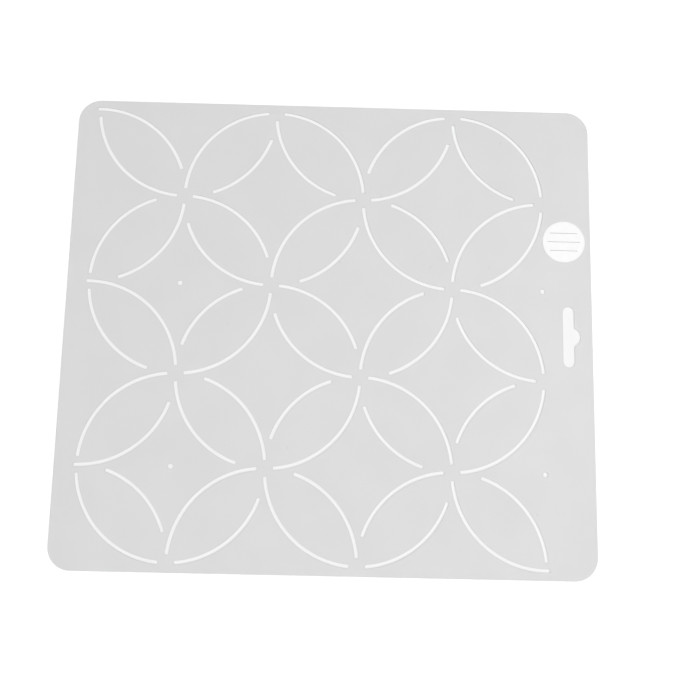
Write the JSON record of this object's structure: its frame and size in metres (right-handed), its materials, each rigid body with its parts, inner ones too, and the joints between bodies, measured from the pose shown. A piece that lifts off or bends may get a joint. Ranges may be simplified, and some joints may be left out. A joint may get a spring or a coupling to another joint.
{
  "type": "quilting template",
  "caption": "Thin frosted plastic sheet with arc slots in an overlapping-circles pattern, for marking quilting lines, with pin holes, a hanging slot and a round label.",
  "frame": {"origin": "under the middle of the sheet, on the face that lies on the cloth", "axes": "+X along the sheet's length towards the border with the hanging slot, +Y across it towards the far edge, +Z out of the upper face, which carries the label"},
  "size_m": [0.289, 0.26, 0.0006],
  "materials": {
    "frosted_plastic": "frosted translucent sheet with a fine matt grain, cut edges",
    "clear_adhesive": "thin clear pressure-sensitive layer",
    "coated_paper": "smooth white coated paper"
  },
  "bodies": {
    "root": {"template_sheet": "frosted_plastic", "label_adhesive": "clear_adhesive", "label_paper": "coated_paper"}
  },
  "joints": []
}
